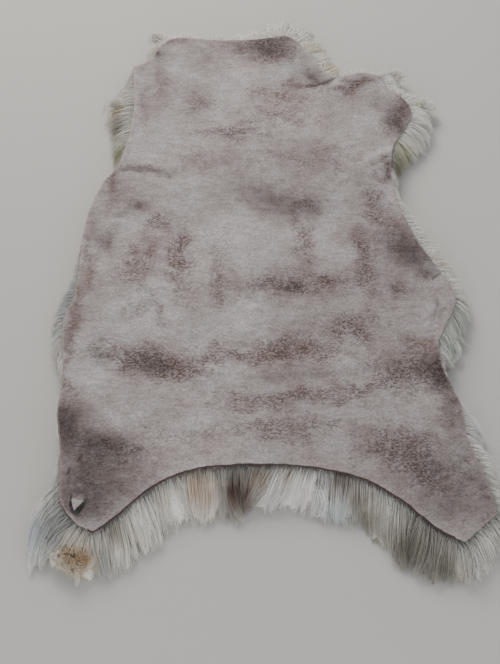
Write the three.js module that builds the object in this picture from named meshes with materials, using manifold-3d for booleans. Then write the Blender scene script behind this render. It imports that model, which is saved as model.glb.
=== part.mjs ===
import * as THREE from "three";
import { mergeVertices } from "three/addons/utils/BufferGeometryUtils.js";
import Module from "manifold-3d";

// A sheepskin spread open on its fleece, leather side up, in millimetres.
// +Y runs along the back from the rump to the neck, +X is to the right, and Z is 0 on the floor.
const wasm = await Module();
wasm.setup();

// Driving sizes
const leatherThickness = 2;
const fleeceDepth = 43; // floor to the underside of the leather
const pieceGap = 0.3; // left between the leather and the fleece
const gridStep = 38; // cell of the leather's mesh
const outlineStep = 17; // spacing of points along the cut edge

// The cut edge, clockwise from the left of the neck. A corner ends one smooth stretch and starts the next.
// reach: how far the wool stands out past the leather. comb: degrees that the locks are turned, + is anticlockwise.
// crown: height of the wool two thirds of the way out.
const edgeRows = [
  // name, x, y, bend, reach, comb, crown
  ["neck, left corner", -249, 421, "corner", 8, 0, 25],
  ["dip by the neck", -220, 442, "round", 14, 0, 26],
  ["neck, left shoulder of the cut", -202, 481, "round", 30, 0, 30],
  ["neck cut, left", -177, 500, "round", 38, 0, 32],
  ["neck cut, middle left", -97, 495, "round", 33, 0, 30],
  ["neck cut, middle right", -49, 495, "round", 44, 5, 31],
  ["neck cut, right", -1, 500, "round", 64, 0, 32],
  ["neck, right corner", 41, 506, "round", 70, 0, 32],
  ["neck, right side", 88, 448, "round", 46, 8, 31],
  ["neck, lower right side", 106, 415, "round", 44, 10, 30],
  ["notch before the foreleg", 131, 394, "round", 36, 10, 29],
  ["foreleg, upper edge", 187, 405, "round", 32, 0, 29],
  ["foreleg, upper corner", 217, 397, "corner", 40, 0, 30],
  ["foreleg, step", 224, 368, "round", 42, 0, 30],
  ["foreleg end", 255, 334, "round", 44, 0, 30],
  ["foreleg, lower corner", 264, 303, "round", 42, 0, 30],
  ["foreleg, lower edge", 246, 261, "round", 52, 0, 28],
  ["right armpit, upper", 227, 225, "round", 34, -10, 24],
  ["right armpit", 218, 184, "round", 24, -20, 22],
  ["right flank, upper", 215, 138, "round", 12, -20, 24],
  ["right flank, upper middle", 225, 84, "round", 26, 0, 26],
  ["right flank, middle", 247, 21, "round", 34, 0, 28],
  ["right flank, bulge", 291, -76, "round", 34, 0, 28],
  ["right flank, widest", 300, -111, "round", 28, -15, 28],
  ["right flank, turned edge", 287, -146, "round", 34, -20, 26],
  ["right notch", 265, -188, "corner", 44, -30, 25],
  ["right haunch, start", 266, -228, "round", 10, 0, 23],
  ["right haunch, upper", 278, -273, "round", 8, 0, 23],
  ["right haunch, middle", 289, -311, "round", 20, -10, 26],
  ["right haunch, lower", 291, -358, "round", 32, -10, 28],
  ["right hind leg, outer edge", 312, -431, "round", 26, -10, 26],
  ["right hind leg, outer corner", 320, -480, "corner", 30, 0, 25],
  ["right hind leg, end", 270, -522, "corner", 50, 5, 21],
  ["rump arch, far right", 237, -506, "round", 60, 24, 20],
  ["rump arch, right", 191, -464, "round", 84, 32, 18],
  ["rump arch, middle right", 136, -428, "round", 66, 18, 18],
  ["rump arch, right of the tail", 72, -410, "round", 60, -10, 20],
  ["rump arch, tail", 6, -404, "round", 62, -30, 21],
  ["rump arch, left of the tail", -59, -405, "round", 76, 0, 20],
  ["rump arch, middle left", -124, -415, "round", 72, -8, 20],
  ["rump arch, left", -174, -442, "round", 64, -20, 21],
  ["left hind leg, inner edge", -230, -494, "round", 66, -30, 21],
  ["left hind leg, end", -251, -509, "corner", 56, 0, 23],
  ["left hind leg, end, outer", -281, -489, "round", 70, -8, 23],
  ["left hind leg, outer corner", -301, -459, "round", 67, 28, 21],
  ["left hind leg, outer edge", -305, -420, "round", 24, 40, 18],
  ["left haunch, lower", -310, -371, "round", 8, 20, 20],
  ["left haunch, middle", -319, -316, "round", 8, 0, 21],
  ["left haunch, upper", -316, -258, "round", 8, 0, 23],
  ["left flank, low corner", -322, -203, "round", 16, 20, 23],
  ["left flank, widest", -326, -153, "round", 28, 10, 23],
  ["left flank, lower", -314, -105, "round", 30, -10, 23],
  ["left flank, middle", -310, -41, "round", 16, -10, 24],
  ["left flank, upper", -310, 15, "round", 8, 0, 25],
  ["left shoulder, lower", -303, 75, "round", 8, 0, 25],
  ["left shoulder", -284, 136, "round", 8, 0, 25],
  ["left armpit", -265, 170, "round", 10, 0, 23],
  ["left of the neck, lower", -248, 237, "round", 34, 10, 22],
  ["left of the neck, tuft", -242, 311, "round", 56, 0, 30],
  ["left of the neck, upper", -245, 362, "round", 42, -10, 30],
];

// Soft hills and troughs of the leather, each along a line: height is + for a ridge, - for a trough.
const foldRows = [
  // name, x1, y1, x2, y2, halfWidth, height
  ["pale rise of the back", -63, 97, -53, -43, 90, 3],
  ["hollow across the shoulders", -30, 108, 89, 70, 32, -4],
  ["dip by the neck's left corner", -218, 469, -193, 457, 26, -6],
  ["dip at the foreleg's notch", 81, 409, 109, 387, 26, -5],
  ["ridge before the foreleg", 101, 363, 162, 387, 24, 4],
  ["fold from the right armpit", 222, 207, 157, 159, 24, 5],
  ["ridge above the armpit", 117, 212, 202, 247, 26, 3],
  ["crease from the left armpit", -253, 167, -163, 145, 22, -5],
  ["ridge under the left crease", -238, 129, -173, 125, 24, 4],
  ["hollow of the left shoulder", -265, 17, -258, -23, 30, -4],
  ["fold down the left side", -155, 47, -141, -103, 26, -3],
  ["fold above the left haunch", -233, -143, -168, -158, 26, 3],
  ["hollow of the left haunch", -243, -228, -163, -233, 30, -4],
  ["ridge of the left haunch", -268, -283, -153, -287, 34, 3],
  ["trough before the left hind leg", -265, -338, -228, -373, 30, -3],
  ["hollow in the right side", 227, 12, 259, -13, 34, -5],
  ["turned edge of the right side", 282, -105, 271, -158, 24, 5],
  ["hollow of the right haunch", 197, -293, 237, -255, 36, -5],
  ["ridge down the right hind leg", 222, -323, 287, -463, 26, 4],
  ["fold across the loin", -33, -197, 87, -197, 26, -3],
  ["hollow of the loin", 12, -81, 47, -85, 30, -3],
];

// A tongue of leather, cut loose by the flaying knife, in the left hind leg
const tongue = { x: -275, y: -445, width: 24, length: 34, turn: -0.25, slot: 5, lift: 8, press: 2 };

// Locks of wool round the edge
const lockPitch = 22; // spacing, measured halfway along the locks
const lockRoot = { inset: 22, width: 36, height: 36 }; // inset: how far a root lies inside the slab
const lockMiddle = { share: 0.66, width: 27 }; // share of the reach at which the crown's height holds
const lockTip = { width: 10, height: 6 };
const lockClearance = 2; // from a lock's top up to the leather
const shortReach = 0.78; // reach of every other lock, as a share of its neighbours'
const shortestLock = 12; // where the wool reaches less, the slab's own wall is left bare
const rimSmoothing = 5; // trace points on each side over which the rim's direction is taken
const rimStep = 4; // spacing of those points

// Round tufts and the matted tag at the left hind leg
const tuftRows = [
  // name, x, y, radius, height
  ["neck tuft, left", -209, 521, 21, 42],
  ["foreleg tuft, upper", 247, 419, 19, 40],
  ["foreleg tuft, outer", 295, 340, 22, 40],
  ["left neck tuft", -277, 339, 27, 40],
  ["matted tag, middle", -274, -530, 29, 38],
  ["matted tag, left", -302, -525, 20, 30],
  ["matted tag, end", -270, -550, 15, 20],
];

const leatherMaterial = new THREE.MeshStandardMaterial({ color: 0xa39a96, roughness: 0.7 });
const woolMaterial = new THREE.MeshStandardMaterial({ color: 0xe2dccd, roughness: 0.95 });

// Small repeatable variation from -1 to 1
function vary(index, channel) {
  const wave = Math.sin(index * 12.9898 + channel * 78.233) * 43758.5453;
  return 2 * (wave - Math.floor(wave)) - 1;
}

function toSolid(geometry) {
  const bare = geometry.clone();
  bare.deleteAttribute("normal");
  bare.deleteAttribute("uv");
  const merged = mergeVertices(bare);
  const vertProperties = Float32Array.from(merged.attributes.position.array);
  const triVerts = Uint32Array.from(merged.index.array);
  return new wasm.Manifold(new wasm.Mesh({ numProp: 3, vertProperties, triVerts }));
}

function toGeometry(points, faces) {
  const geometry = new THREE.BufferGeometry();
  geometry.setAttribute("position", new THREE.BufferAttribute(Float32Array.from(points), 3));
  geometry.setIndex(new THREE.BufferAttribute(Uint32Array.from(faces), 1));
  geometry.computeVertexNormals();
  return geometry;
}

// Splits the edge at its corners and runs a smooth curve through each stretch.
// Each point carries the wool's reach, comb and crown there.
function traceEdge(step) {
  const first = edgeRows.findIndex((row) => row[3] === "corner");
  const rows = [...edgeRows.slice(first), ...edgeRows.slice(0, first + 1)];
  const points = [];
  let stretch = [rows[0]];
  for (const row of rows.slice(1)) {
    stretch.push(row);
    if (row[3] !== "corner") continue;
    const places = new THREE.CatmullRomCurve3(
      stretch.map(([, x, y]) => new THREE.Vector3(x, y, 0)), false, "centripetal");
    const count = Math.max(2, Math.round(places.getLength() / step));
    for (let i = 0; i < count; i += 1) {
      const share = places.getUtoTmapping(i / count) * (stretch.length - 1);
      const before = stretch[Math.floor(share)];
      const after = stretch[Math.min(Math.floor(share) + 1, stretch.length - 1)];
      const mix = (column) => THREE.MathUtils.lerp(before[column], after[column], share % 1);
      const place = places.getPointAt(i / count);
      points.push({ x: place.x, y: place.y, reach: mix(4), comb: mix(5), crown: mix(6) });
    }
    stretch = [row];
  }
  return points;
}

// Height of the leather's underside
function undersideAt(x, y) {
  let height = fleeceDepth;
  for (const [, x1, y1, x2, y2, halfWidth, rise] of foldRows) {
    const run = { x: x2 - x1, y: y2 - y1 };
    const along = ((x - x1) * run.x + (y - y1) * run.y) / (run.x ** 2 + run.y ** 2);
    const held = THREE.MathUtils.clamp(along, 0, 1);
    const away = Math.hypot(x - x1 - held * run.x, y - y1 - held * run.y);
    height += rise * Math.exp(-((away / halfWidth) ** 2));
  }
  return height;
}

// A point's place in the tongue: across from its middle line, and along from its root
function inTongue(x, y) {
  const dx = x - tongue.x;
  const dy = y - tongue.y;
  return {
    across: dx * Math.cos(tongue.turn) + dy * Math.sin(tongue.turn),
    along: dx * Math.sin(tongue.turn) - dy * Math.cos(tongue.turn),
  };
}

// Height that the tongue's free end is lifted by
function tongueLift(x, y) {
  const { across, along } = inTongue(x, y);
  const inside = Math.abs(across) < tongue.width / 2 + 0.1 && along > 0 && along < tongue.length + 0.1;
  return inside ? tongue.lift * (along / tongue.length) : 0;
}

// Flat block of an outline, standing past both faces of the sheet
function cutter(corners) {
  const shape = new THREE.Shape(corners.map(({ x, y }) => new THREE.Vector2(x, y)));
  const block = new THREE.ExtrudeGeometry(shape, { depth: 3 * leatherThickness, bevelEnabled: false });
  return block.translate(0, 0, -leatherThickness);
}

// The leather's cells seen from above: corners, triangles, and the rim's edges.
// They are the underside of a gridded slab, cut to the outline and round the tongue.
function flatCells() {
  const outline = cutter(traceEdge(outlineStep));
  outline.computeBoundingBox();
  const { min, max } = outline.boundingBox;
  const columns = Math.ceil((max.x - min.x) / gridStep) + 1;
  const rows = Math.ceil((max.y - min.y) / gridStep) + 1;
  const grid = new THREE.BoxGeometry(columns * gridStep, rows * gridStep, leatherThickness, columns, rows, 1);
  grid.translate((min.x + max.x) / 2, (min.y + max.y) / 2, leatherThickness / 2);
  const cut = toSolid(grid).intersect(toSolid(outline).subtract(toSolid(tongueSlot())));
  const { vertProperties, triVerts } = cut.getMesh();
  const corners = new Map();
  for (let i = 0; i < vertProperties.length / 3; i += 1) {
    const [x, y, z] = vertProperties.slice(3 * i, 3 * i + 3);
    if (z < leatherThickness / 2) corners.set(i, { x, y, place: corners.size });
  }
  const triangles = [];
  for (let i = 0; i < triVerts.length; i += 3) {
    const triangle = [...triVerts.slice(i, i + 3)];
    if (triangle.every((corner) => corners.has(corner))) {
      triangles.push(triangle.map((corner) => corners.get(corner).place));
    }
  }
  const edges = triangles.flatMap(([a, b, c]) => [[a, b], [b, c], [c, a]]);
  const known = new Set(edges.map(String));
  const rim = edges.filter(([a, b]) => !known.has(String([b, a])));
  return { corners: [...corners.values()], triangles, rim };
}

// Closed solid over the cells, between two heights
function shell({ corners, triangles, rim }, bottomAt, topAt) {
  const count = corners.length;
  const points = [bottomAt, topAt].flatMap((heightAt) => corners.flatMap(({ x, y }) => [x, y, heightAt(x, y)]));
  const faces = triangles.flatMap(([a, b, c]) => [a, b, c, c + count, b + count, a + count]);
  const walls = rim.flatMap(([a, b]) => [b, a, a + count, b, a + count, b + count]);
  return toGeometry(points, [...faces, ...walls]);
}

// U-shaped cut round the tongue, open towards its root
function tongueSlot() {
  const inner = tongue.width / 2;
  const outer = inner + tongue.slot;
  const end = tongue.length + tongue.slot;
  const corners = [
    [-outer, 0], [-inner, 0], [-inner, -tongue.length], [inner, -tongue.length],
    [inner, 0], [outer, 0], [outer, -end], [-outer, -end],
  ].map(([x, y]) => ({ x, y }));
  return cutter(corners).rotateZ(tongue.turn).translate(tongue.x, tongue.y, 0);
}

// Closed solid through rings of four points
function loft(rings) {
  const points = rings.flat().flatMap(({ x, y, z }) => [x, y, z]);
  const faces = [0, 2, 1, 0, 3, 2];
  for (let ring = 0; ring < rings.length - 1; ring += 1) {
    for (let side = 0; side < 4; side += 1) {
      const a = ring * 4 + side;
      const b = ring * 4 + ((side + 1) % 4);
      faces.push(a, b, a + 4, b, b + 4, a + 4);
    }
  }
  const last = (rings.length - 1) * 4;
  faces.push(last, last + 1, last + 2, last, last + 2, last + 3);
  return toGeometry(points, faces);
}

// Four corners of a lock's section: a flat foot on the floor, and a top kept under the leather
function lockRing(centre, side, width, height) {
  const top = Math.min(height, undersideAt(centre.x, centre.y) - lockClearance);
  return [[-0.5, 0], [0.5, 0], [0.36, top], [-0.36, top]].map(([share, z]) =>
    new THREE.Vector3(centre.x + side.x * width * share, centre.y + side.y * width * share, z));
}

function lock(root, index) {
  const ahead = root.outward.clone().rotateAround(new THREE.Vector2(), THREE.MathUtils.degToRad(
    root.comb + 7 * vary(index, 1)));
  const side = new THREE.Vector2(-ahead.y, ahead.x);
  const reach = root.reach * (index % 2 ? shortReach : 1) * (1 + 0.1 * vary(index, 3));
  const at = (distance) => new THREE.Vector2(root.x, root.y).addScaledVector(ahead, distance);
  const inset = new THREE.Vector2(root.x, root.y).addScaledVector(root.outward, -lockRoot.inset);
  const crown = root.crown * (1 + 0.1 * vary(index, 2));
  return loft([
    lockRing(inset, side, lockRoot.width, lockRoot.height),
    lockRing(at(0.15 * reach), side, lockRoot.width, lockRoot.height),
    lockRing(at(lockMiddle.share * reach), side, lockMiddle.width, crown),
    lockRing(at(reach), side, lockTip.width, lockTip.height),
  ]);
}

// Long and short locks by turns, evenly spaced halfway along their reach
function rimLocks() {
  const trace = traceEdge(rimStep);
  const locks = [];
  let middle = null;
  let travelled = lockPitch;
  trace.forEach((point, index) => {
    const before = trace.at(index - rimSmoothing);
    const after = trace[(index + rimSmoothing) % trace.length];
    const outward = new THREE.Vector2(before.y - after.y, after.x - before.x).normalize();
    const next = new THREE.Vector2(point.x, point.y).addScaledVector(outward, point.reach / 2);
    travelled += middle ? next.distanceTo(middle) : 0;
    middle = next;
    if (travelled < lockPitch || point.reach < shortestLock) return;
    locks.push(lock({ ...point, outward }, locks.length));
    travelled = 0;
  });
  return locks;
}

// Rounded lump standing on the floor, from its foot up
function tuft([, x, y, radius, height]) {
  const profile = [[0, 0], [1, 0], [0.99, 0.35], [0.86, 0.72], [0.5, 0.95], [0, 1]];
  const top = Math.min(height, undersideAt(x, y) - lockClearance);
  const points = profile.map(([r, z]) => new THREE.Vector2(r * radius, z * top));
  return new THREE.LatheGeometry(points, 9).rotateX(Math.PI / 2).translate(x, y, 0);
}

// Wool that shows through the cut round the tongue, a little wider than the cut
function tonguePlug() {
  const spare = 3;
  const width = tongue.width + 2 * (tongue.slot + spare);
  const length = tongue.length + tongue.slot + 2 * spare;
  const height = undersideAt(tongue.x, tongue.y) - tongue.press;
  const plug = new THREE.BoxGeometry(width, length, height).translate(0, spare - length / 2, height / 2);
  return plug.rotateZ(tongue.turn).translate(tongue.x, tongue.y, 0);
}

// A slab under the leather, parallel to it, with the locks and tufts fused to its sides
function buildFleece(cells) {
  const slab = shell(cells, () => 0, (x, y) => undersideAt(x, y) - pieceGap);
  const bodies = [slab, tonguePlug(), ...rimLocks(), ...tuftRows.map(tuft)];
  const { vertProperties, triVerts } = wasm.Manifold.union(bodies.map(toSolid)).getMesh();
  return toGeometry(vertProperties, triVerts);
}

function buildHide(cells) {
  const bottomAt = (x, y) => undersideAt(x, y) + tongueLift(x, y);
  return shell(cells, bottomAt, (x, y) => bottomAt(x, y) + leatherThickness);
}

const cells = flatCells();
const sheepskin = new THREE.Group();
for (const [name, geometry, material] of [
  ["hide", buildHide(cells), leatherMaterial],
  ["fleece", buildFleece(cells), woolMaterial],
]) {
  const mesh = new THREE.Mesh(geometry, material);
  mesh.name = name;
  sheepskin.add(mesh);
}

export default sheepskin;
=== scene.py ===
import math
import random
from functools import partial

import bmesh
import bpy
import numpy as np
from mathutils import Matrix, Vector
from mathutils import geometry as plane
from mathutils import noise


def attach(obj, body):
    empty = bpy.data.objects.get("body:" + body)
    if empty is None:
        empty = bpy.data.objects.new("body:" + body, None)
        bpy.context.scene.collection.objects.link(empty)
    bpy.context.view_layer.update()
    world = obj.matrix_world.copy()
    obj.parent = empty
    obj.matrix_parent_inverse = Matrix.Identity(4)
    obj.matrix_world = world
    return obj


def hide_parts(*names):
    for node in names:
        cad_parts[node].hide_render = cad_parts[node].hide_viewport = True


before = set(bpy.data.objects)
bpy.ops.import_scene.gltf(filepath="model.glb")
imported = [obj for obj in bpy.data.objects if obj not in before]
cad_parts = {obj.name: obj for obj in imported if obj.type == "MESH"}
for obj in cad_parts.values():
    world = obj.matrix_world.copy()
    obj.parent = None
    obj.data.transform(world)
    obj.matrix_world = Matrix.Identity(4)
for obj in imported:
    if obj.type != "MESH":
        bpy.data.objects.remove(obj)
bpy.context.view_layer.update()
mm = 0.001

# camera, floor and light

view = {
    "place": (-0.0300, -1.0747, 1.4338),
    "tilt": 33.0,  # degrees from looking straight down
    "lens": 56.93,
    "sensor": 36,
}

studio = {
    "floor": "b9b6b1",
    "reach": 4,  # metres from the middle of the floor to its sides
    "sky": "eef0f4",
    "skyStrength": 0.55,
}

lights = [
    # name, place, size, power, colour
    ("key", (-0.65, 1.8, 1.8), 1.3, 58, "fffaf4"),
    ("fill", (1.8, -0.4, 2.4), 2.4, 13, "f2f6ff"),
    ("front", (-0.4, -2.4, 0.9), 1.8, 29, "ffffff"),
]


def addObject(name, data):
    made = bpy.data.objects.new(name, data)
    bpy.context.scene.collection.objects.link(made)
    return made


def makeCamera():
    data = bpy.data.cameras.new("camera")
    data.lens = view["lens"]
    data.sensor_width = view["sensor"]
    camera = addObject("camera", data)
    camera.location = view["place"]
    camera.rotation_euler = (math.radians(view["tilt"]), 0, 0)
    bpy.context.scene.camera = camera


def toLinear(text):
    # sRGB hex to the linear colour that nodes take
    parts = [int(text[i:i + 2], 16) / 255 for i in (0, 2, 4)]
    return [c / 12.92 if c <= 0.04045 else ((c + 0.055) / 1.055) ** 2.4 for c in parts] + [1.0]


def addNode(tree, kind, inputs=(), **settings):
    # inputs come by name or in order: values are set, and sockets or a node's first output are linked
    node = tree.nodes.new(kind)
    for name, value in settings.items():
        setattr(node, name, value)
    for name, value in (inputs.items() if isinstance(inputs, dict) else enumerate(inputs)):
        if isinstance(value, bpy.types.Node):
            value = value.outputs[0]
        if isinstance(value, bpy.types.NodeSocket):
            tree.links.new(value, node.inputs[name])
        else:
            node.inputs[name].default_value = value
    return node


def newMaterial(name):
    material = bpy.data.materials.new(name)
    material.use_nodes = True
    material.node_tree.nodes.clear()
    return material, partial(addNode, material.node_tree)


def finishMaterial(add, surface):
    shader = add("ShaderNodeBsdfPrincipled", surface)
    add("ShaderNodeOutputMaterial", {"Surface": shader})


def addLights():
    for name, place, size, power, colour in lights:
        data = bpy.data.lights.new(name, "AREA")
        data.size = size
        data.energy = power
        data.color = toLinear(colour)[:3]
        lamp = addObject(name, data)
        lamp.location = place
        lamp.rotation_euler = (-Vector(place)).to_track_quat("-Z", "Y").to_euler()
    world = bpy.data.worlds.new("studio")
    world.use_nodes = True
    sky = world.node_tree.nodes["Background"].inputs
    sky["Color"].default_value = toLinear(studio["sky"])
    sky["Strength"].default_value = studio["skyStrength"]
    bpy.context.scene.world = world


def addFloor():
    # pale matt studio floor
    far = studio["reach"]
    mesh = bpy.data.meshes.new("floor")
    mesh.from_pydata([(-far, -far, 0), (far, -far, 0), (far, far, 0), (-far, far, 0)], [], [(0, 1, 2, 3)])
    material, add = newMaterial("pale matt floor")
    finishMaterial(add, {"Base Color": toLinear(studio["floor"]), "Roughness": 0.8})
    mesh.materials.append(material)
    floor = addObject("floor", mesh)


# the cut edge and the leather's relief, in millimetres

edgeRows = [
    # name, x, y, bend, reach, comb, crown
    ("neck, left corner", -249, 421, "corner", 8, 0, 25),
    ("dip by the neck", -220, 442, "round", 14, 0, 26),
    ("neck, left shoulder of the cut", -202, 481, "round", 30, 0, 30),
    ("neck cut, left", -177, 500, "round", 38, 0, 32),
    ("neck cut, middle left", -97, 495, "round", 33, 0, 30),
    ("neck cut, middle right", -49, 495, "round", 44, 5, 31),
    ("neck cut, right", -1, 500, "round", 64, 0, 32),
    ("neck, right corner", 41, 506, "round", 70, 0, 32),
    ("neck, right side", 88, 448, "round", 46, 8, 31),
    ("neck, lower right side", 106, 415, "round", 44, 10, 30),
    ("notch before the foreleg", 131, 394, "round", 36, 10, 29),
    ("foreleg, upper edge", 187, 405, "round", 32, 0, 29),
    ("foreleg, upper corner", 217, 397, "corner", 40, 0, 30),
    ("foreleg, step", 224, 368, "round", 42, 0, 30),
    ("foreleg end", 255, 334, "round", 44, 0, 30),
    ("foreleg, lower corner", 264, 303, "round", 42, 0, 30),
    ("foreleg, lower edge", 246, 261, "round", 52, 0, 28),
    ("right armpit, upper", 227, 225, "round", 34, -10, 24),
    ("right armpit", 218, 184, "round", 24, -20, 22),
    ("right flank, upper", 215, 138, "round", 12, -20, 24),
    ("right flank, upper middle", 225, 84, "round", 26, 0, 26),
    ("right flank, middle", 247, 21, "round", 34, 0, 28),
    ("right flank, bulge", 291, -76, "round", 34, 0, 28),
    ("right flank, widest", 300, -111, "round", 28, -15, 28),
    ("right flank, turned edge", 287, -146, "round", 34, -20, 26),
    ("right notch", 265, -188, "corner", 44, -30, 25),
    ("right haunch, start", 266, -228, "round", 10, 0, 23),
    ("right haunch, upper", 278, -273, "round", 8, 0, 23),
    ("right haunch, middle", 289, -311, "round", 20, -10, 26),
    ("right haunch, lower", 291, -358, "round", 32, -10, 28),
    ("right hind leg, outer edge", 312, -431, "round", 26, -10, 26),
    ("right hind leg, outer corner", 320, -480, "corner", 30, 0, 25),
    ("right hind leg, end", 270, -522, "corner", 50, 5, 21),
    ("rump arch, far right", 237, -506, "round", 60, 24, 20),
    ("rump arch, right", 191, -464, "round", 84, 32, 18),
    ("rump arch, middle right", 136, -428, "round", 66, 18, 18),
    ("rump arch, right of the tail", 72, -410, "round", 60, -10, 20),
    ("rump arch, tail", 6, -404, "round", 62, -30, 21),
    ("rump arch, left of the tail", -59, -405, "round", 76, 0, 20),
    ("rump arch, middle left", -124, -415, "round", 72, -8, 20),
    ("rump arch, left", -174, -442, "round", 64, -20, 21),
    ("left hind leg, inner edge", -230, -494, "round", 66, -30, 21),
    ("left hind leg, end", -251, -509, "corner", 56, 0, 23),
    ("left hind leg, end, outer", -281, -489, "round", 70, -8, 23),
    ("left hind leg, outer corner", -301, -459, "round", 67, 28, 21),
    ("left hind leg, outer edge", -305, -420, "round", 24, 40, 18),
    ("left haunch, lower", -310, -371, "round", 4, 20, 20),
    ("left haunch, middle", -319, -316, "round", 4, 0, 21),
    ("left haunch, upper", -316, -258, "round", 4, 0, 23),
    ("left flank, low corner", -322, -203, "round", 16, 20, 23),
    ("left flank, widest", -326, -153, "round", 28, 10, 23),
    ("left flank, lower", -314, -105, "round", 30, -10, 23),
    ("left flank, middle", -310, -41, "round", 16, -10, 24),
    ("left flank, upper", -310, 15, "round", 4, 0, 25),
    ("left shoulder, lower", -303, 75, "round", 4, 0, 25),
    ("left shoulder", -284, 136, "round", 4, 0, 25),
    ("left armpit", -265, 170, "round", 5, 0, 23),
    ("left of the neck, lower", -248, 237, "round", 34, 10, 22),
    ("left of the neck, tuft", -242, 311, "round", 56, 0, 30),
    ("left of the neck, upper", -245, 362, "round", 42, -10, 30),
]

# broad hills and troughs, the same as the CAD's
foldRows = [
    # name, x1, y1, x2, y2, halfWidth, height
    ("pale rise of the back", -63, 97, -53, -43, 90, 3),
    ("hollow across the shoulders", -30, 108, 89, 70, 32, -4),
    ("dip by the neck's left corner", -218, 469, -193, 457, 26, -6),
    ("dip at the foreleg's notch", 81, 409, 109, 387, 26, -5),
    ("ridge before the foreleg", 101, 363, 162, 387, 24, 4),
    ("fold from the right armpit", 222, 207, 157, 159, 24, 5),
    ("ridge above the armpit", 117, 212, 202, 247, 26, 3),
    ("crease from the left armpit", -253, 167, -163, 145, 22, -5),
    ("ridge under the left crease", -238, 129, -173, 125, 24, 4),
    ("hollow of the left shoulder", -265, 17, -258, -23, 30, -4),
    ("fold down the left side", -155, 47, -141, -103, 26, -3),
    ("fold above the left haunch", -233, -143, -168, -158, 26, 3),
    ("hollow of the left haunch", -243, -228, -163, -233, 30, -4),
    ("ridge of the left haunch", -268, -283, -153, -287, 34, 3),
    ("trough before the left hind leg", -265, -338, -228, -373, 30, -3),
    ("hollow in the right side", 227, 12, 259, -13, 34, -5),
    ("turned edge of the right side", 282, -105, 271, -158, 24, 5),
    ("hollow of the right haunch", 197, -293, 237, -255, 36, -5),
    ("ridge down the right hind leg", 222, -323, 287, -463, 26, 4),
    ("fold across the loin", -33, -197, 87, -197, 26, -3),
    ("hollow of the loin", 12, -81, 47, -85, 30, -3),
]

# a pointed tongue of leather that the knife cut loose in the left hind leg
tongue = {
    "x": -275,
    "y": -451,
    "turn": -0.1,
    "length": 28,
    "lift": 11,  # of its tip
    "curl": 1.6,  # power by which it lifts from root to tip
    "margin": 1.03,  # the lifted outline is this much larger, so that the tongue's own edge is in it
    "clean": 2,  # where it is lifted by this much it has its own tones in full
    "tones": {"brown": 0.3, "dark": 0.1, "pale": 0.7},
}
# corners of the tongue and of the slot round it, across and up from the root
tongueEdge = [(-9, 0), (-9, -8), (-6, -16), (-3, -23), (0, -28), (2, -22), (5, -15), (8, -8), (9, 0)]
slotEdge = [(12, 1), (13, -9), (11, -19), (6, -28), (-1, -33), (-7, -27), (-11, -17), (-12, -8), (-11, 0)]
fleeceDepth = 43
rimStep = 4  # spacing of the points where the wool follows the edge
rump = {"edge": -385, "halfWidth": 258}  # the edge's stretch whose cut edge is darkened by the skin's dark cut section and painted shadow, and whose wool's roots by painted shadow of the leather and dirt
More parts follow.
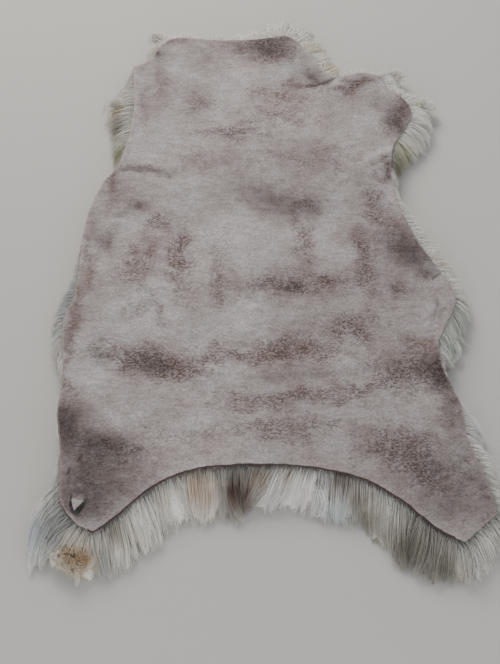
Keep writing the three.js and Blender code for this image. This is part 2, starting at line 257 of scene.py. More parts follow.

# finer creases and ridges that only the leather has
creaseRows = [
    # name, x1, y1, x2, y2, halfWidth, height
    ("left armpit, crease", -257, 168, -238, 171, 4, -2.2),
    ("left armpit, crease's bend", -238, 171, -215, 166, 4, -2.2),
    ("left armpit, crease's middle", -212, 172, -184, 164, 3.5, -2.2),
    ("left armpit, crease's end", -184, 164, -160, 143, 7, -1.6),
    ("left armpit, lip over the crease", -240, 180, -190, 180, 7, 1.6),
    ("left armpit, ridge", -238, 146, -185, 140, 8, 2.4),
    ("left shoulder, dent", -227, 88, -214, 80, 8, -2.4),
    ("left shoulder, trough", -262, 62, -240, 66, 7, -2),
    ("left shoulder, pale ridge", -270, 50, -252, 56, 6, 1.6),
    ("left side, dent", -270, 8, -262, 10, 7, -2),
    ("left side, long wrinkle", -147, 38, -144, -30, 5, -1.6),
    ("left side, long wrinkle's end", -144, -30, -136, -110, 5, -1.4),
    ("left side, second wrinkle", -78, -30, -86, -108, 8, -1),
    ("above the left haunch, peak's left", -226, -146, -203, -120, 5, 1.8),
    ("above the left haunch, peak's right", -196, -118, -160, -168, 6, 1.8),
    ("left haunch, crack", -262, -241, -206, -241, 3, -1.6),
    ("left haunch, crack's end", -206, -241, -166, -236, 3, -1.6),
    ("notch, fold", 72, 368, 114, 386, 4, -2.4),
    ("notch, fold's end", 114, 386, 134, 396, 3.5, -2.4),
    ("notch, hollow", 84, 408, 92, 398, 12, -2),
    ("foreleg, ridge by the edge", 122, 368, 208, 384, 6, 1.6),
    ("armpit, fan's first ridge", 228, 214, 187, 186, 5, 2),
    ("armpit, fan's second ridge", 187, 186, 155, 160, 6, 2),
    ("armpit, fan's trough", 215, 190, 178, 168, 4, -1.8),
    ("shoulders, small crease", -8, 80, 8, 72, 2.6, -1.4),
    ("back, sharp crease", 35, -70, 57, -97, 2.2, -1.8),
    ("loin, pale ridge", 22, -166, 52, -140, 5, 1.6),
    ("right side, crease's stem", 260, -76, 294, -50, 2.6, -2.2),
    ("right side, crease's arm", 262, -73, 250, -52, 2.4, -1.4),
    ("turned edge, crease", 274, -106, 257, -164, 3, -1.7),
    ("turned edge, roll", 290, -116, 276, -160, 6, 3),
    ("right haunch, pit", 212, -216, 215, -217, 6, -2),
    ("right leg, pit", 203, -330, 205, -332, 5, -1.8),
    ("right leg, second pit", 221, -362, 223, -363, 5, -1.8),
    ("right leg, third pit", 236, -396, 238, -397, 5, -1.8),
    ("right leg, fourth pit", 210, -411, 212, -411, 5, -1.8),
    ("right leg, long crease", 195, -326, 243, -399, 5, -1),
    ("right leg, dent", 284, -472, 286, -487, 2.6, -1.2),
    ("left leg, slit", -297, -422, -291, -408, 1.9, -2.4),
    ("left leg, second slit", -281, -398, -275, -384, 1.9, -2.4),
    ("left leg, nick", -278, -430, -270, -429, 1.8, -1.6),
    ("left leg, crack", -252, -362, -232, -372, 2.6, -1.4),
    ("left leg, second crack", -222, -388, -196, -384, 2.6, -1.2),
    ("loin, first wrinkle", -27, -203, 20, -196, 3.4, -1.2),
    ("loin, second wrinkle", 20, -196, 72, -190, 3.4, -1.2),
    ("loin, low wrinkle", -24, -228, 30, -222, 5, -0.8),
    ("tongue, fold over its root", -284, -438, -268, -436, 5, 2.6),
    ("tongue, crease over its root", -284, -446, -264, -447, 3, -1.6),
]


def travel(points):
    # how far along a line each of its points lies
    return np.concatenate([[0], np.cumsum(np.hypot(*np.diff(points, axis=0).T))])


def between(a, b, start, end, t):
    # on the way from a at the start to b at the end
    return a + (b - a) * (t - start) / (end - start)


def smoothStretch(rows, step):
    # centripetal Catmull-Rom through one stretch of rows, sampled evenly; returns x, y, reach, comb, crown
    fineStep = 0.04
    points = np.array([(row[1], row[2]) for row in rows], float)
    words = np.array([row[4:7] for row in rows], float)
    ends = np.vstack([2 * points[0] - points[1], points, 2 * points[-1] - points[-2]])
    fine = []
    for i in range(len(points) - 1):
        p0, p1, p2, p3 = ends[i:i + 4]
        t1 = np.linalg.norm(p1 - p0) ** 0.5
        t2 = t1 + np.linalg.norm(p2 - p1) ** 0.5
        t3 = t2 + np.linalg.norm(p3 - p2) ** 0.5
        for share in np.arange(0, 1, fineStep):
            t = t1 + (t2 - t1) * share
            middle = between(p1, p2, t1, t2, t)
            early = between(between(p0, p1, 0, t1, t), middle, 0, t2, t)
            late = between(middle, between(p2, p3, t2, t3, t), t1, t3, t)
            place = between(early, late, t1, t2, t)
            fine.append([*place, *between(words[i], words[i + 1], 0, 1, share)])
    fine.append([*points[-1], *words[-1]])
    fine = np.array(fine)
    travelled = travel(fine[:, :2])
    count = max(2, round(travelled[-1] / step))
    stops = np.arange(count) / count * travelled[-1]
    return np.column_stack([np.interp(stops, travelled, column) for column in fine.T])


def traceEdge(step):
    first = next(i for i, row in enumerate(edgeRows) if row[3] == "corner")
    rows = edgeRows[first:] + edgeRows[:first + 1]
    stretches, stretch = [], [rows[0]]
    for row in rows[1:]:
        stretch.append(row)
        if row[3] == "corner":
            stretches.append(smoothStretch(stretch, step))
            stretch = [row]
    return np.vstack(stretches)


def outwardFrom(trace, steps):
    # the way out at each point of a closed trace, from its neighbours some steps away
    before, after = np.roll(trace, steps, axis=0), np.roll(trace, -steps, axis=0)
    outward = np.column_stack([before[:, 1] - after[:, 1], after[:, 0] - before[:, 0]])
    return outward / np.linalg.norm(outward, axis=1)[:, None]


def nearLine(x, y, x1, y1, x2, y2):
    # share of the way along a line at which points lie, and how far they are from it between its ends
    runX, runY = x2 - x1, y2 - y1
    along = ((x - x1) * runX + (y - y1) * runY) / (runX ** 2 + runY ** 2)
    held = np.clip(along, 0, 1)
    return along, np.hypot(x - x1 - held * runX, y - y1 - held * runY)


def turned(x, y, angle):
    c, s = math.cos(angle), math.sin(angle)
    return x * c - y * s, x * s + y * c


def softNoise(x, y, size, seed):
    # smooth noise from -1 to 1 with lumps of one size
    return np.array([noise.noise((a / size, b / size, seed)) for a, b in zip(x, y)])


def inside(x, y, ring):
    # whether points lie inside a closed ring, by crossings
    hit = np.zeros(len(x), bool)
    for (x1, y1), (x2, y2) in zip(ring, np.roll(ring, -1, axis=0)):
        if y1 == y2:
            continue
        crosses = (y1 > y) != (y2 > y)
        hit ^= crosses & (x < (x2 - x1) * (y - y1) / (y2 - y1) + x1)
    return hit


def edgeDistance(x, y, ring):
    best = np.full(len(x), np.inf)
    for px, py in ring:
        best = np.minimum(best, (x - px) ** 2 + (y - py) ** 2)
    return np.sqrt(best)


def underside(x, y):
    height = np.zeros(len(x))
    for _, x1, y1, x2, y2, halfWidth, rise in foldRows:
        _, away = nearLine(x, y, x1, y1, x2, y2)
        height += rise * np.exp(-(away / halfWidth) ** 2)
    return fleeceDepth + height


def creaseRelief(x, y):
    # creases and ridges, a little bent, and narrower and weaker towards both ends
    bentX = x + leather["bend"] * softNoise(x, y, size=15, seed=2.9)
    bentY = y + leather["bend"] * softNoise(x, y, size=15, seed=7.7)
    height = np.zeros(len(x))
    for _, x1, y1, x2, y2, halfWidth, rise in creaseRows:
        along, away = nearLine(bentX, bentY, x1, y1, x2, y2)
        middle = np.clip(1 - np.abs(2 * along - 1) ** 3, 0, 1)
        width = halfWidth * np.interp(middle, (0, 1), (leather["narrowEnd"], 1))
        height += rise * np.interp(middle, (0, 1), (leather["weakEnd"], 1)) * np.exp(-(away / width) ** 2)
    return height


def inTongue(x, y):
    # a point's place in the tongue: across from its middle line, and up from its root
    return turned(x - tongue["x"], y - tongue["y"], -tongue["turn"])


def inSlot(x, y):
    return inside(*inTongue(x, y), np.array(tongueEdge + slotEdge, float))


def tongueLift(x, y):
    across, up = inTongue(x, y)
    within = inside(across, up, np.array(tongueEdge, float) * tongue["margin"])
    return np.where(within, tongue["lift"] * (np.maximum(-up, 0) / tongue["length"]) ** tongue["curl"], 0)


def leatherFloor(x, y):
    # the lowest that the leather's under side comes
    return underside(x, y) + np.minimum(creaseRelief(x, y), 0) - leather["swell"]


def paint(mesh, name, values):
    # point attribute of numbers, or of colours where every value has four parts
    values = np.asarray(values, np.float32)
    kind, part = ("FLOAT", "value") if values.ndim == 1 else ("FLOAT_COLOR", "color")
    mesh.attributes.new(name, kind, "POINT").data.foreach_set(part, values.ravel())


# leather: the skin itself, dried, flesh side up

leather = {
    "thickness": 2.0,
    "lip": 1.8,  # rise of the dried edge
    "lipWidth": 7.0,
    "proud": 0.7,  # how far the middle of the cut edge stands out
    "ragged": 1.1,  # how far the cut edge wanders
    "swell": 1.3,  # height of the broad unevenness
    "lumps": 0.5,  # height of the finer unevenness
    "bend": 3.0,  # how far creases wander from straight
    "narrowEnd": 0.55,  # a crease's width at its ends, as a share of its middle's
    "weakEnd": 0.4,  # and its height
}

cells = {
    "pitch": 4.2,  # spacing of the mesh
    "rows": 0.866,  # from row to row, as a share of the pitch
    "jitter": 0.5,
    "edge": 0.9,  # spacing along the cut edge, as a share of the pitch
    "edgeRoom": 0.6,  # and how near to it other points come
    "slotStep": 3,  # spacing round the tongue and its slot
    "slotRoom": 0.5,
    "sharp": 4.0,  # a crease narrower than this has a finer mesh
    "creaseStep": 2.2,
    "clearing": 2,  # loose points stay this many half widths, and a millimetre, away from it
    "creaseSides": (-1.7, -1.1, -0.55, 0, 0.55, 1.1, 1.7),  # in half widths of the crease
}

# patches of tone wander, so that none is a clean ellipse
wanderRows = [
    # axis, how far, size of the lumps, seed
    ("x", 20, 44, 8.1),
    ("x", 10, 15, 9.2),
    ("y", 18, 44, 3.4),
    ("y", 9, 15, 5.6),
]
# the dark patches are both stains and painted shade that sits in the hollows
darkWander = 0.3  # share by which the dark patches wander

# tones of the flesh side, each a soft ellipse: brown, dark, pale and wrinkled from 0 to 1. Dark is partly the
# skin's own stains and partly painted shade: in the hollows, dents, notches and armpits, beside the ridges,
# and over the hind legs. Pale is the skin's own paleness, and on the light ridges and the turned roll also
# painted highlight.
toneRows = [
    # name, x, y, halfWidth, halfHeight, turn, brown, dark, pale, wrinkled
    ("notch by the neck's left corner", -209, 464, 16, 13, 0, 0.4, 1.0, 0, 0.2),
    ("neck's top edge, left", -176, 492, 26, 9, 0, 0.7, 0.35, 0, 0.2),
    ("stain down the neck's left", -190, 386, 13, 46, 0, 0.95, 0.12, 0, 0.1),
    ("stain by the left edge", -226, 335, 10, 60, 0, 0.7, 0.3, 0, 0.1),
    ("pale streak, neck left", -133, 402, 46, 26, -30, 0, 0, 0.8, 0),
    ("pale streak, neck left, lower", -168, 425, 18, 30, 20, 0, 0, 0.5, 0),
    ("neck, brown top", 4, 474, 72, 30, 0, 0.8, 0.85, 0, 0.9),
    ("neck, brown top edge", 20, 498, 60, 8, 0, 0.6, 0.6, 0, 0.4),
    ("neck, grey top left", -112, 446, 16, 30, 0, 0.1, 0.22, 0.2, 0.1),
    ("neck, grey top right", 48, 428, 34, 30, 0, 0, 0.12, 0.45, 0),
    ("notch, hollow", 92, 402, 32, 17, -48, 0.3, 0.9, 0, 0.2),
    ("notch, brown above the fold", 72, 376, 32, 12, 8, 0.8, 0.35, 0, 0.7),
    ("notch, fold line", 116, 386, 26, 5, 22, 0.5, 0.7, 0, 0.3),
    ("foreleg, striped band", 168, 380, 58, 9, 20, 0.9, 0.4, 0, 1.0),
    ("foreleg, light line by the band", 112, 356, 40, 6, 12, 0.1, 0, 0.5, 0),
    ("foreleg, tip", 244, 304, 28, 46, -12, 0.9, 0.8, 0, 0.6),
    ("foreleg, tip's edge", 238, 262, 14, 26, 24, 0.8, 0.6, 0, 0.6),
    ("foreleg, grey shade", 205, 328, 26, 26, 0, 0.3, 0.28, 0, 0),
    ("foreleg, grey pad", 150, 330, 52, 20, 8, 0, 0, 0.4, 0),
    ("foreleg, pale pad", 200, 276, 26, 20, 0, 0, 0, 0.6, 0),
    ("fan, light ridge", 196, 196, 50, 12, 38, 0, 0, 1.0, 0),
    ("fan, light field", 150, 214, 40, 24, 20, 0, 0, 0.7, 0),
    ("armpit, dark patch", 209, 144, 15, 14, 0, 0.8, 0.6, 0, 0.9),
    ("armpit, shade", 214, 166, 15, 26, 0, 0.8, 0.75, 0, 0.5),
    ("flank, brown rings", 180, 102, 24, 24, 30, 0.8, 0.3, 0, 1.0),
    ("flank, brown by the edge", 202, 60, 22, 60, 12, 0.6, 0.12, 0, 0.3),
    ("flank, small brown spots", 178, 60, 14, 10, 0, 0.7, 0.25, 0, 0.8),
    ("neck, brown band", 28, 300, 70, 26, -6, 0.65, 0.12, 0, 0.4),
    ("neck, brown under the notch", 20, 352, 60, 22, -12, 0.7, 0.1, 0, 0.5),
    ("neck, brown left middle", -120, 330, 50, 22, 0, 0.55, 0.05, 0, 0.4),
    ("neck, brown low left", -60, 256, 60, 18, 0, 0.6, 0.12, 0, 0.9),
    ("neck, grey left", -190, 268, 40, 36, 0, 0, 0.05, 0.35, 0),
    ("shoulder, pink right", 110, 190, 60, 40, 0, 0.6, 0, 0, 0.2),
    ("shoulder, pink middle", 20, 196, 60, 28, 0, 0.5, 0, 0.1, 0.2),
    ("shoulder, brown left", -120, 190, 40, 26, 0, 0.5, 0.05, 0, 0.2),
    ("hollow across the shoulders", 22, 92, 112, 42, -16, 0.15, 0.62, 0, 0),
    ("hollow's brown end", 66, 90, 24, 14, -20, 0.5, 0.1, 0, 0.7),
    ("left armpit, crease", -206, 168, 54, 12, -8, 0.5, 0.45, 0, 0.3),
    ("left armpit, brown edge", -270, 132, 16, 44, 0, 0.95, 0.35, 0, 0.2),
    ("left shoulder, dark dent", -222, 84, 26, 14, 0, 0.3, 0.6, 0, 0.3),
    ("left shoulder, grey", -228, 48, 32, 18, 0, 0, 0, 0.5, 0),
    ("left shoulder, light ridge", -266, 58, 20, 10, 20, 0, 0, 0.7, 0),
    ("left side, dark dent", -266, 6, 18, 30, 0, 0.3, 0.5, 0, 0.1),
    ("left side, brown", -212, -44, 36, 56, 0, 0.8, 0.3, 0, 0.4),
    ("left side, brown spots", -180, 48, 14, 20, 0, 0.7, 0.1, 0, 0.9),
    ("left side, wrinkled band", -143, -34, 16, 76, 3, 0.9, 0.2, 0, 1.0),
    ("left side, second band", -82, -66, 16, 60, 0, 0.6, 0.1, 0, 0.7),
    ("left edge, brown", -300, -60, 12, 90, -4, 0.8, 0.22, 0, 0.2),
    ("back, pale field", -60, 10, 56, 80, 0, 0, 0, 0.45, 0),
    ("back, pale field, right", 22, 20, 46, 44, 0, 0, 0, 0.4, 0),
    ("back, brown column", 58, 14, 16, 66, 8, 0.65, 0.12, 0, 0.7),
    ("back, pale ring", 124, -30, 26, 34, 0, 0, 0, 0.6, 0),
    ("back, brown round the ring", 104, -78, 30, 14, 0, 0.75, 0.22, 0, 1.0),
    ("back, brown right column", 160, -30, 15, 66, 6, 0.75, 0.18, 0, 0.9),
    ("back, dark patch", 14, -84, 68, 24, 0, 0.7, 0.3, 0, 0.6),
    ("back, dark patch's crease", 44, -82, 16, 18, -30, 0.6, 0.35, 0, 0.9),
    ("right side, dark hollow", 242, -14, 58, 42, -50, 0.3, 0.85, 0, 0.4),
    ("right side, crease", 262, -66, 16, 10, 0, 0.4, 0.5, 0, 0.3),
    ("right side, brown spots", 208, -92, 16, 18, -30, 0.7, 0.25, 0, 0.8),
    ("right side, roll", 262, -130, 14, 34, 10, 0.1, 0, 0.6, 0),
    ("right side, crease in the roll", 270, -134, 5, 28, 12, 0.7, 0.5, 0, 0.2),
    ("back, pink pale", 36, -146, 60, 16, 0, 0, 0, 0.6, 0),
    ("back, grey right", 196, -150, 30, 24, 0, 0, 0, 0.35, 0),
    ("back, wrinkled patch", 122, -162, 38, 26, 0, 0.75, 0.22, 0, 1.0),
    ("back, dark smudge", 172, -156, 14, 14, 40, 0.2, 0.3, 0, 0.4),
    ("above the left haunch, grey", -190, -168, 28, 18, 0, 0, 0, 0.5, 0),
    ("above the left haunch, light arm", -240, -160, 30, 9, 34, 0, 0, 0.6, 0),
    ("above the left haunch, shade", -214, -128, 34, 9, 30, 0.5, 0.35, 0, 0.3),
    ("above the left haunch, right shade", -172, -142, 9, 34, 28, 0.5, 0.3, 0, 0.5),
    ("left haunch, brown", -200, -222, 56, 26, -18, 1.0, 0.6, 0, 1.0),
    ("left haunch, brown, right", -150, -236, 44, 18, -8, 1.0, 0.35, 0, 1.0),
    ("left haunch, dark by the edge", -266, -214, 18, 18, 0, 0.5, 0.5, 0, 0.4),
    ("left edge strip, brown", -314, -240, 10, 74, 0, 1.0, 0.25, 0, 0.3),
    ("left edge strip, upper", -312, -160, 12, 34, -10, 1.0, 0.3, 0, 0.2),
    ("loin, brown band", 10, -206, 110, 22, 0, 0.8, 0.25, 0, 0.9),
    ("loin, brown band's left", -90, -222, 60, 16, 8, 0.65, 0.15, 0, 0.8),
    ("loin, pale band", 60, -250, 120, 14, 2, 0, 0.42, 0, 0.1),
    ("loin, pale band, left", -100, -268, 60, 16, 0, 0.2, 0.1, 0.2, 0),
    ("left haunch, pale", -270, -270, 30, 24, 0, 0, 0, 0.8, 0),
    ("left haunch, light band", -180, -296, 90, 22, 0, 0.3, 0, 0.25, 0),
    ("left haunch, grey band", -226, -322, 40, 14, 0, 0, 0, 0.5, 0),
    ("loin, brown low", 20, -294, 90, 18, 0, 0.8, 0.12, 0, 0.8),
    ("loin, brown low right", 140, -276, 60, 10, 4, 0.6, 0.12, 0, 0.8),
    ("rump, wrinkled", 20, -345, 110, 18, 0, 0.45, 0.06, 0.1, 0.8),
    ("rump, pink left", -120, -356, 80, 34, 0, 0.45, 0, 0.15, 0.1),
    ("rump, pale right", 108, -384, 50, 26, -14, 0, 0, 0.7, 0),
    ("right haunch, wrinkled pink", 196, -250, 50, 34, 0, 0.8, 0.15, 0, 0.9),
    ("right haunch, pink above", 240, -196, 24, 18, 0, 0.8, 0.1, 0, 0.3),
    ("right haunch, dark corner", 266, -244, 38, 36, 0, 1.0, 1.0, 0, 0.8),
    ("right haunch, dark edge", 274, -304, 22, 60, 8, 0.7, 0.65, 0, 0.2),
    ("right haunch, grey", 206, -302, 30, 24, 0, 0, 0.1, 0.3, 0.2),
    ("right leg, brown", 190, -378, 50, 36, 0, 0.6, 0.26, 0, 1.0),
    ("right leg, brown, lower", 226, -412, 34, 24, -30, 0.6, 0.28, 0, 0.9),
    ("right leg, broad shade", 236, -440, 70, 60, -20, 0.1, 0.3, 0, 0.2),
    ("right leg, shade", 276, -440, 56, 80, 0, 0.3, 0.5, 0, 0.1),
    ("right leg, dark edge", 306, -446, 14, 50, 10, 0.5, 0.35, 0, 0),
    ("left leg, dark edge", -308, -336, 36, 44, 0, 1.0, 1.0, 0, 0.2),
    ("left leg, dark hollow", -256, -368, 54, 30, -10, 0.7, 0.9, 0, 0.2),
    ("left leg, cracked patch", -206, -382, 34, 14, -8, 0.3, 0.3, 0.3, 0.8),
    ("left leg, shade", -258, -418, 74, 58, 0, 0.7, 0.8, 0, 0.2),
    ("left leg, lower half", -262, -470, 46, 42, 0, 0.4, 0.7, 0, 0.1),
    ("left leg, tip", -250, -498, 26, 9, 0, 0.2, 0, 0.5, 0),
    ("right leg, grey", 236, -470, 30, 30, 0, 0, 0.3, 0.2, 0),
    ("flank, right middle, grey", 214, -40, 40, 80, 0, 0.1, 0.15, 0, 0),
]


def tonesAt(x, y):
    tones = np.zeros((len(x), 4))
    for _, px, py, halfWidth, halfHeight, turn, *amounts in toneRows:
        across, up = turned(x - px, y - py, -math.radians(turn))
        share = np.exp(-((across / halfWidth) ** 2 + (up / halfHeight) ** 2))
        tones += (1 - tones) * share[:, None] * np.array(amounts)
    return dict(zip(("brown", "dark", "pale", "wrinkled"), tones.T))


def leatherHeight(x, y, edge):
    # top of the leather, in millimetres
    height = underside(x, y) + leather["thickness"] + tongueLift(x, y) + creaseRelief(x, y)
    height += leather["lip"] * np.exp(-(edge / leather["lipWidth"]) ** 2)
    height += leather["swell"] * softNoise(x, y, size=46, seed=1.7)
    return height + leather["lumps"] * softNoise(x, y, size=17, seed=4.1)


def raggedEdge(step):
    # the cut edge, uneven at two sizes
    ring = traceEdge(step)[:, :2]
    wander = softNoise(*ring.T, size=11, seed=2.3) + 0.5 * softNoise(*ring.T, size=4.5, seed=6.3)
    return ring + outwardFrom(ring, 2) * (leather["ragged"] * wander)[:, None]


def slotRing():
    # points round the tongue and its slot
    points = []
    corners = tongueEdge + slotEdge
    for (ax, ay), (bx, by) in zip(corners, corners[1:] + corners[:1]):
        steps = max(1, round(math.hypot(bx - ax, by - ay) / cells["slotStep"]))
        for i in range(steps):
            px, py = turned(ax + (bx - ax) * i / steps, ay + (by - ay) * i / steps, tongue["turn"])
            points.append((tongue["x"] + px, tongue["y"] + py))
    return np.array(points)


def leatherDots(low, high):
    # loose points between two corners of a box, in even rows, and finer ones along the sharp creases
    chance = random.Random(5)
    pitch, jitter = cells["pitch"], cells["jitter"]
    dots = []
    for row, y in enumerate(np.arange(low[1], high[1], pitch * cells["rows"])):
        for x in np.arange(low[0] + (row % 2) * pitch / 2, high[0], pitch):
            dots.append((x + chance.uniform(-jitter, jitter), y + chance.uniform(-jitter, jitter)))
    dots = np.array(dots)
    for _, x1, y1, x2, y2, halfWidth, _ in creaseRows:
        if halfWidth > cells["sharp"]:
            continue
        _, away = nearLine(*dots.T, x1, y1, x2, y2)
        length = math.hypot(x2 - x1, y2 - y1)
        run = np.array([x2 - x1, y2 - y1]) / length
        ahead = np.arange(0, length, cells["creaseStep"])
        dots = dots[away > halfWidth * cells["clearing"] + 1]
        for aside in cells["creaseSides"]:
            middle = np.array([x1, y1]) + np.array([-run[1], run[0]]) * aside * halfWidth
            dots = np.vstack([dots, middle + run * ahead[:, None]])
    return dots


def leatherCells():
    # flat triangles of the outline, with the tongue's slot left open
    ring = raggedEdge(cells["pitch"] * cells["edge"])
    slot = slotRing()
    dots = leatherDots(ring.min(axis=0), ring.max(axis=0))
    keep = inside(*dots.T, ring) & ~inSlot(*dots.T)
    keep &= edgeDistance(*dots.T, ring) > cells["pitch"] * cells["edgeRoom"]
    keep &= edgeDistance(*dots.T, slot) > cells["pitch"] * cells["slotRoom"]
    places = np.vstack([ring, slot, dots[keep]])
    loops = []
    for first, size in ((0, len(ring)), (len(ring), len(slot))):
        loops += [(first + i, first + (i + 1) % size) for i in range(size)]
    kind, nearness = 0, 1e-6  # all triangles within the hull, and how near two points count as one
    points = [Vector(place) for place in places]
    flat, _, faces, *_ = plane.delaunay_2d_cdt(points, loops, [], kind, nearness)
    flat = np.array([tuple(place) for place in flat])
    faces = np.array([face for face in faces if len(face) == 3])
    middles = flat[faces].mean(axis=1)
    keep = inside(*middles.T, ring) & ~inSlot(*middles.T)
    return flat, faces[keep], ring


def leatherTones(x, y, edge):
    # what the leather's material reads, at each point
    wander = {"x": 0.0, "y": 0.0}
    for axis, far, size, seed in wanderRows:
        wander[axis] = wander[axis] + far * softNoise(x, y, size, seed)
    values = {**tonesAt(x + wander["x"], y + wander["y"]), "edge": edge, "crease": creaseRelief(x, y)}
    values["dark"] = tonesAt(x + darkWander * wander["x"], y + darkWander * wander["y"])["dark"]
    # the tongue keeps the skin's own pale tone, out of the painted shade over the leg round it
    clean = np.clip(tongueLift(x, y) / tongue["clean"], 0, 1)
    for name, amount in tongue["tones"].items():
        values[name] += (amount - values[name]) * clean
    # along the rump the cut edge is dark: the skin's own cut section, and painted shadow
    values["cut"] = np.where((y < rump["edge"]) & (np.abs(x) < rump["halfWidth"]), 1.0, 0.0)
    return values


def outwardAtRim(flat, rim):
    # the way out at each corner of the rim, from the two edges that meet in it
    outward = {}
    for a, b in rim:
        side = np.array([flat[b][1] - flat[a][1], flat[a][0] - flat[b][0]])
        for corner in (a, b):
            outward[corner] = outward.get(corner, 0) + side / np.linalg.norm(side)
    return {corner: way / np.linalg.norm(way) for corner, way in outward.items()}


def makeLeather():
    flat, faces, ring = leatherCells()
    x, y = flat.T
    edge = edgeDistance(x, y, ring)
    top = leatherHeight(x, y, edge)
    count = len(flat)
    edges = np.concatenate([faces[:, [0, 1]], faces[:, [1, 2]], faces[:, [2, 0]]])
    known = set(map(tuple, edges.tolist()))
    rim = [(a, b) for a, b in known if (b, a) not in known]
    # the rim has a middle row of its own that stands a little proud, so that the cut edge is round
    outward = outwardAtRim(flat, rim)
    corners = list(outward)
    proud = flat[corners] + leather["proud"] * np.array(list(outward.values()))
    places = np.vstack([
        np.column_stack([x, y, top]),
        np.column_stack([x, y, top - leather["thickness"]]),
        np.column_stack([proud, top[corners] - leather["thickness"] / 2]),
    ])
    spots = {corner: 2 * count + i for i, corner in enumerate(corners)}
    polygons = faces.tolist() + (faces[:, ::-1] + count).tolist()
    for a, b in rim:
        polygons.append((b, a, spots[a], spots[b]))
        polygons.append((spots[b], spots[a], a + count, b + count))
    mesh = bpy.data.meshes.new("leather")
    mesh.from_pydata((places * mm).tolist(), [], polygons)
    mesh.update()
    mesh.shade_smooth()
    every = np.concatenate([np.arange(count), np.arange(count), corners])
    for name, values in leatherTones(x, y, edge).items():
        paint(mesh, name, values[every])
    print("leather", len(faces) * 2 + len(rim) * 4, "triangles")
    return addObject("leather", mesh)


